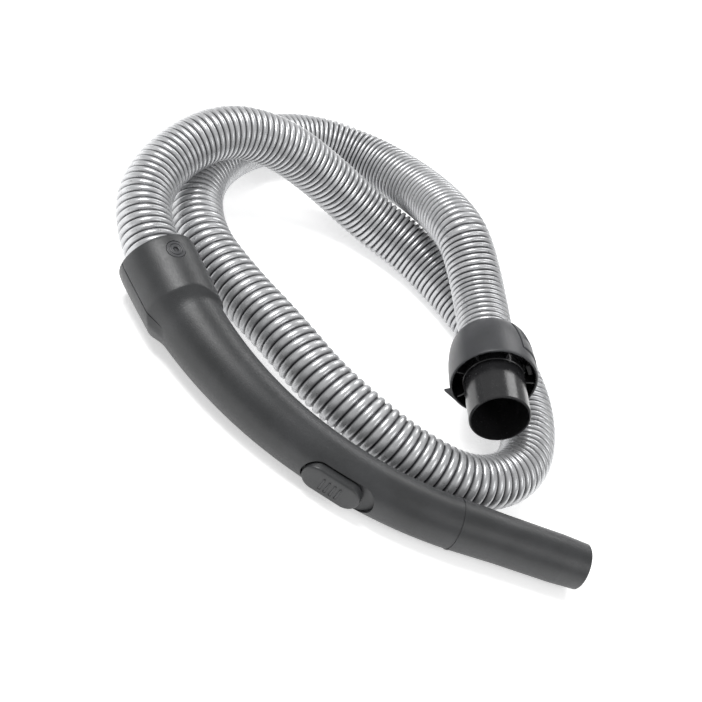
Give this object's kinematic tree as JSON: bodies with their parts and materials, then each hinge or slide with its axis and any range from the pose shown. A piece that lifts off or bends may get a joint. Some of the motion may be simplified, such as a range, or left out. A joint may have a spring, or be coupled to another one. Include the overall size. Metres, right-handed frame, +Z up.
{
  "type": "vacuum cleaner hose assembly",
  "caption": "Corrugated vacuum hose with a bent wand handle on one end and a latching machine connector on the other.",
  "frame": {"origin": "floor point under the middle of the box of the handle and the connector, without the hose", "axes": "+X the way the wand leaves the handle's spigot, +Z up from the floor that the hose lies on"},
  "size_m": [0.3726, 0.3989, 0.0919],
  "materials": {
    "hose": "semi-gloss silver grey",
    "handle": "fine textured charcoal",
    "cuff": "satin grey",
    "bell": "satin dark grey",
    "spout": "glossy black",
    "seal": "soft black",
    "steel": "zinc plated"
  },
  "bodies": {
    "hose": {"hose": "hose", "handle_cuff": "cuff", "cuff_seal": "seal", "retaining_ring": "steel", "machine_cuff": "cuff"},
    "handle": {"grip_tube": "handle", "collar_upper": "handle", "collar_lower": "handle", "collar_screws": "spout", "wand_spigot": "handle", "seam_ring": "handle"},
    "slider": {"bleed_slider": "handle", "slider_clip": "steel"},
    "connector": {"connector_bell": "bell", "connector_spout": "spout", "thrust_washer": "cuff", "machine_seal": "seal", "latch_pin": "steel", "latch_spring": "steel"},
    "latch": {"release_latch": "bell"}
  },
  "joints": [
    {"name": "handle_swivel", "type": "hinge", "parent": "hose", "child": "handle", "pos_m": [-0.15649, 0.07189, 0.03168], "axis": [0.5299, -0.8444, -0.0783], "continuous": true},
    {"name": "bleed_slide", "type": "slide", "parent": "handle", "child": "slider", "axis": [0.9507, -0.3088, -0.0287], "range_m": [0, 0.008]},
    {"name": "connector_swivel", "type": "hinge", "parent": "hose", "child": "connector", "pos_m": [0.09108, 0.08378, 0.057], "axis": [0.069, -0.9973, 0.0262], "continuous": true},
    {"name": "latch_rock", "type": "hinge", "parent": "connector", "child": "latch", "pos_m": [0.11237, 0.05966, 0.07524], "axis": [-0.6676, -0.0267, 0.7441], "range_deg": [0, 4], "stiffness_Nm_per_rad": 0.2}
  ]
}
